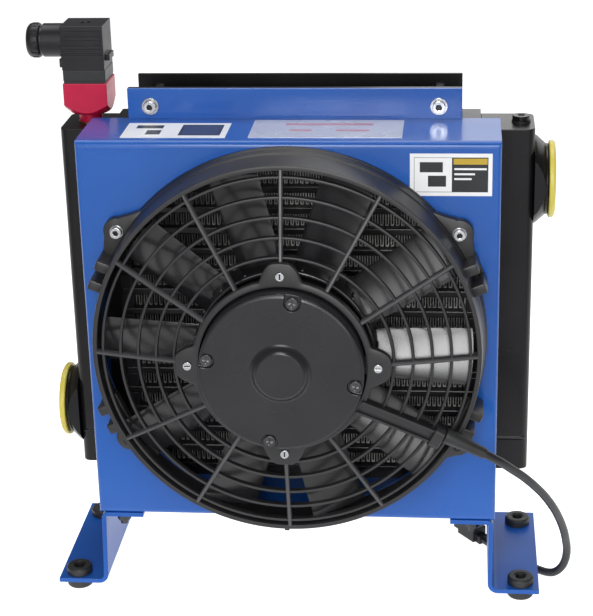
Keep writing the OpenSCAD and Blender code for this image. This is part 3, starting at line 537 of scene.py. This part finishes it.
def clip(angle):
    """Two lugs on a low base, with a notch between them."""
    turn = math.radians(angle)

    def place(x, y, depth):
        return in_fan(x - 0.1 * depth if x < 122 else x, y, depth, turn)

    shells = []
    for low_y, high_y, reach, high, edge in (
            (3.4, 9.9, CLIP_REACH, CLIP_HEIGHT, 0.9), (-9.9, -3.4, CLIP_REACH, CLIP_HEIGHT, 0.9),
            (-9.7, 9.7, CLIP_BASE_REACH, CLIP_BASE_HEIGHT, 0.5)):
        outline = soften([(RING_SIDE, low_y), (reach, low_y), (reach, high_y),
                          (RING_SIDE, high_y)], 1.1, 2)
        shells.append(prism(outline, 0, high, edge, place))
    return shells


def duct():
    """The cable duct: a sloped channel with raised side walls, and its end collar."""
    angle = math.radians(DUCT_ANGLE)
    shells = []
    top = [(52.6, 54), (66, 50.6), (90, 45.2), (103, 42.7)]
    for low_y, high_y, rise, deep in ((-4.6, -2.9, 0, 8), (2.9, 4.6, 0, 8), (-3.2, 3.2, -1.8, 6)):
        rings = []
        for r, f in top:
            section = soften([(low_y, f - deep), (high_y, f - deep), (high_y, f + rise),
                              (low_y, f + rise)], 0.6, 2)
            rings.append([in_fan(r, y, d, angle) for y, d in section])
        shells.append(sweep(rings, False))
    collar = soften([(-7.4, 32.2), (7.4, 32.2), (7.4, 40.5), (5.2, 43.8), (-5.2, 43.8),
                     (-7.4, 40.5)], 1.4, 3)
    rings = []
    for r, grow in ((101.9, -0.8), (102.5, 0), (108.4, 0), (109, -0.8)):
        shaped = inset(collar, -grow)
        rings.append([in_fan(r, y, d, angle) for y, d in shaped])
    shells.append(sweep(rings, False))
    return shells


def make_guard():
    guard = Build()
    guard.add(*turned(soften(BARREL, 0.5, 2), 192))
    for r, f in RINGS:
        section = soften([(r - 0.9, f - RIB_DEPTH), (r + 0.9, f - RIB_DEPTH), (r + 0.9, f),
                          (r - 0.9, f)], 0.75, 2)
        guard.add(*turned(section, 160))
    guard.add(*hub_ring())
    for i in range(12):
        # the spokes take material 1, the painted sheen
        guard.add(*spoke(math.radians(30 * i), 64.4 if i % 3 == 0 else 53), 1)
    for sx in (-1, 1):
        for sz in (-1, 1):
            guard.add(*ear(sx, sz))
    for angle in CLIP_ANGLES:
        for shell in clip(angle):
            guard.add(*shell)
    for shell in duct():
        guard.add(*shell)
    nub = soften([(118.2, -1.5), (121.8, -1.5), (121.8, 1.5), (118.2, 1.5)], 0.5, 2)
    guard.add(*prism(nub, 27, 31, 0.4, lambda x, y, d: in_fan(x, y, d, math.radians(-91))))
    return guard.piece("guard_moulding", [GUARD, RIB_PAINTED_SHEEN], "cooler", ["fan_housing"])


make_guard()


# ---- impeller ----
BLADES, BLADE_TIP, BLADE_ROOT, BLADE_MID = 10, 114.4, 54.5, 20.0
BLADE_START = -2.4


def blade(turn):
    rings = []
    for i in range(11):
        t = i / 10
        radius = BLADE_ROOT + (BLADE_TIP - BLADE_ROOT) * t
        pitch = math.radians(21.5 - 2 * t)
        chord = 31 + 4 * t
        thick = 2.6 - 1.1 * t
        ring = []
        for k in range(24):
            around = 2 * math.pi * k / 24
            along = math.cos(around)
            arch = 0.25 * (1 - along * along)
            half = 0.5 * thick * math.sin(around) * (1 - 0.35 * along)
            u, w = 0.5 * chord * along, arch + half
            across = u * math.cos(pitch) + w * math.sin(pitch)
            depth = BLADE_MID - u * math.sin(pitch) + w * math.cos(pitch)
            out = math.sqrt(max(radius * radius - across * across, 1))
            ring.append(in_fan(out, across, depth, turn))
        rings.append(ring)
    return sweep(rings, False)


def make_impeller():
    impeller = Build()
    for i in range(BLADES):
        impeller.add(*blade(math.radians(BLADE_START + 360 / BLADES * i)))
    hub = [(10.2, 3.2), (53.5, 3.2), (56, 6), (56, 36), (53.2, 36), (53.2, 15), (50, 12.2),
           (10.2, 12.2)]
    impeller.add(*turned(soften(hub, 1.2, 3), 128))
    boss = [(4.1, 3.2), (11, 3.2), (11, 15), (4.1, 15)]
    impeller.add(*turned(soften(boss, 0.5, 2), 48))
    for i in range(20):
        turn = math.radians(18 * i + 6)
        rib = soften([(55.4, -0.8), (57, -0.8), (57, 0.8), (55.4, 0.8)], 0.3, 1)
        impeller.add(*prism(rib, 24, 35, 0.3,
                            lambda x, y, d, t=turn: in_fan(x, y, d, t)))
    return impeller.piece("impeller_moulding", [BLADE], "rotor", ["impeller"],
                          40)


make_impeller()


# ---- core fins: lanced offset strips, one row between each pair of tubes ----
CORE_FRONT, CORE_BACK, CORE_Z0, TUBE_T, TUBE_N, CORE_H = 10.0, 51.0, 66.5, 4.7, 16, 236.0
FIN_H = (CORE_H - TUBE_N * TUBE_T) / (TUBE_N + 1)
FIN_REACH, FIN_GAP, FIN_SKIN, STRIPS = 109.4, 1.72, 0.75, 5


def make_fins():
    fins = Build()
    first, last = CORE_FRONT + 6.5, CORE_BACK - 0.9
    step = (last - first) / STRIPS
    low, high = CORE_Z0 - 0.2, CORE_Z0 + FIN_H + 0.2
    for strip in range(STRIPS):
        shift = 0.5 * FIN_GAP * (strip % 2)
        walls = int((2 * FIN_REACH - shift) / FIN_GAP) + 1
        line = []
        for k in range(walls):
            x = -FIN_REACH + shift + k * FIN_GAP
            pair = [(x, low), (x, high)]
            line += pair if k % 2 == 0 else pair[::-1]
        points = [(x, y, z) for x, z in line
                  for y in (first + strip * step, first + (strip + 1) * step)]
        faces = [(2 * i, 2 * i + 2, 2 * i + 3, 2 * i + 1) for i in range(len(line) - 1)]
        fins.add(points, faces)
    made = fins.piece("core_fin_rows", [FIN], "cooler", ["core_fins"], 20)
    skin = made.modifiers.new("skin", "SOLIDIFY")
    skin.thickness = FIN_SKIN * MM
    skin.offset = 0
    rows = made.modifiers.new("rows", "ARRAY")
    rows.count = TUBE_N + 1
    rows.use_relative_offset = False
    rows.use_constant_offset = True
    rows.constant_offset_displace = (0, 0, (FIN_H + TUBE_T) * MM)
    return made


make_fins()


# ---- fan lead and its boot ----
def make_lead():
    line = smoothed(CABLE, 4)
    lead = Build()
    lead.add(*sweep(tube(line, CABLE_R, 20), False))
    made = lead.piece("fan_lead", [JACKET], "cooler", ["fan_cable"], 60)


def make_boot():
    angle = math.radians(-26.6)
    profile = [(109.2, 4.5), (109.8, 5.1), (113, 4.95), (119, 4.45), (126, 3.95), (132, 3.65),
               (136.6, 3.5), (137.1, 3.3), (137.1, 3.05), (110.2, 3.05), (109.2, 3.4)]
    profile = soften(profile, 0.6, 2)
    rings = []
    for k in range(40):
        a = 2 * math.pi * k / 40
        rings.append([in_fan(r, t * math.cos(a), 38.9 + t * math.sin(a), angle)
                      for r, t in profile])
    boot = Build()
    boot.add(*sweep(rings, True))
    return boot.piece("boot_sleeve", [RUBBER], "cooler", ["cable_boot"], 50)


make_lead()
make_boot()


# ---- labels: blank panels and bars only ----
def label(name, node, flat, materials, marks, rise=0.03):
    """A thin sheet in the node's place; flat turns (u, v, height) of 0..1 into a point."""
    sheet = Build()
    base = [(0, 0), (1, 0), (1, 1), (0, 1)]
    for outline, low, high, number in [(base, 0, 1, 0)] + [
            ([(u0, v0), (u1, v0), (u1, v1), (u0, v1)], 0.5, 1 + rise * level, number)
            for u0, u1, v0, v1, number, level in marks]:
        rings = [[flat(u, v, h) for u, v in outline] for h in (low, high)]
        sheet.add(*sweep(rings, False), number)
    return sheet.piece(name, materials, "cooler", [node])


def on_front(lo, hi):
    return lambda u, v, h: ((lo[0] + (hi[0] - lo[0]) * u), (hi[1] - (hi[1] - lo[1]) * h),
                            (lo[2] + (hi[2] - lo[2]) * v))


def on_top(lo, hi):
    return lambda u, v, h: ((lo[0] + (hi[0] - lo[0]) * u), (lo[1] + (hi[1] - lo[1]) * v),
                            (lo[2] + (hi[2] - lo[2]) * h))


def corners(node):
    return [[c / MM for c in corner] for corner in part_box(node)]


label("guard_notice", "guard_label", on_front(*corners("guard_label")),
      [PAPER, INK, AMBER],
      [(0.05, 0.51, 0.09, 0.10, 1, 1), (0.05, 0.51, 0.90, 0.91, 1, 1),
       (0.05, 0.055, 0.09, 0.91, 1, 1), (0.51, 0.95, 0.09, 0.91, 1, 1),
       (0.53, 0.94, 0.745, 0.885, 2, 2),
       (0.12, 0.40, 0.56, 0.80, 1, 1), (0.22, 0.44, 0.22, 0.48, 1, 1),
       (0.54, 0.93, 0.615, 0.66, 0, 2), (0.54, 0.79, 0.495, 0.54, 0, 2),
       (0.54, 0.75, 0.38, 0.425, 0, 2)])
label("top_notice", "top_label", on_top(*corners("top_label")), [PAPER, INK, SLATE],
      [(0.10, 0.36, 0.62, 0.84, 1, 1), (0.22, 0.36, 0.20, 0.50, 1, 1),
       (0.54, 0.94, 0.14, 0.88, 1, 1), (0.565, 0.92, 0.20, 0.82, 2, 2)])
label("rating_panel", "rating_plate", on_top(*corners("rating_plate")), [PLATE, SLATE, MAROON],
      [(0.22, 0.80, 0.68, 0.80, 2, 1), (0.26, 0.40, 0.34, 0.44, 2, 1),
       (0.56, 0.78, 0.34, 0.44, 2, 1)])


# ---- weld beads where the tanks meet the core at the back ----
def make_beads():
    beads = Build()
    for sx in (-1, 1):
        rings = []
        steps = 236
        for i in range(steps + 1):
            z = CORE_Z0 + 1 + (CORE_H - 2) * i / steps
            swell = 1.25 + 0.22 * math.sin(2 * math.pi * z / 2.4)
            ring = []
            for k in range(9):
                a = math.pi * k / 8
                ring.append((sx * 118 + 2.3 * math.cos(a), CORE_BACK - 0.25
                             + swell * math.sin(a), z))
            rings.append(ring)
        beads.add(*sweep(rings, False))
    return beads.piece("tank_weld_beads", [BLACK], "cooler", (), 60)


make_beads()


# ---- stage, lights ----
# where the floor's glow starts to ease off, going from the object to the front, and its ends
GLOW_FRONT, GLOW_BACK, GLOW_LOW, GLOW_HIGH = -0.26, -0.11, 0.12, 0.95


def make_floor():
    """A plain pale floor: one colour all over, its glow easing off in front of the object."""
    mesh = bpy.data.meshes.new("floor")
    mesh.from_pydata([(-9, -9, 0), (9, -9, 0), (9, 9, 0), (-9, 9, 0)], [], [(0, 1, 2, 3)])
    made = Finish("pale_floor", Emission_Color=(1, 1, 1, 1))
    made.set("Base Color", made.ramp(made.noise(2), [(0.3, (0.58, 0.58, 0.58)),
                                                     (0.7, (0.62, 0.62, 0.62))]))
    made.set("Roughness", made.spread(made.noise(3), 0.6, 0.7))
    along = made.node("ShaderNodeSeparateXYZ", Vector=made.place).outputs["Y"]
    made.set("Emission Strength", made.node(
        "ShaderNodeMapRange", Value=along, From_Min=GLOW_FRONT, From_Max=GLOW_BACK,
        To_Min=GLOW_LOW, To_Max=GLOW_HIGH).outputs["Result"])
    mesh.materials.append(made.material)
    floor = bpy.data.objects.new("floor", mesh)
    scene.collection.objects.link(floor)


def lamp(name, at, towards, size, power, spread=180):
    data = bpy.data.lights.new(name, "AREA")
    data.shape = "RECTANGLE"
    data.size, data.size_y = size
    data.energy = power
    data.spread = math.radians(spread)
    made = bpy.data.objects.new(name, data)
    scene.collection.objects.link(made)
    made.location = at
    made.rotation_euler = (Vector(towards) - Vector(at)).to_track_quat("-Z", "Y").to_euler()


make_floor()
lamp("key", (-0.08, -1.37, 1.25), (0, -0.06, 0.18), (0.55, 0.6), 8.6)
lamp("flash", (0.04, -1.45, 0.68), (0.06, -0.06, 0.18), (0.4, 0.4), 6.2)
lamp("side", (0.62, -1.4, 0.28), (0.08, -0.06, 0.12), (0.3, 0.3), 0.8)
lamp("left", (-0.5, -1.45, 0.55), (0.05, -0.06, 0.2), (0.4, 0.4), 0.6)
lamp("fill", (0.1, -1.9, 0.55), (0, 0, 0.3), (2.2, 0.7), 8)
lamp("overhead", (0, 0.35, 1.3), (0, 0.05, 0.1), (1.4, 0.8), 4.5, 110)
lamp("backdrop", (1.15, 1.6, 0.95), (1.0, 0, 0.6), (2.4, 1.2), 13)
world = bpy.data.worlds.new("studio")
world.use_nodes = True
world.node_tree.nodes["Background"].inputs["Color"].default_value = (1, 1, 1, 1)
world.node_tree.nodes["Background"].inputs["Strength"].default_value = 0.12
scene.world = world
scene.view_settings.view_transform = "Standard"
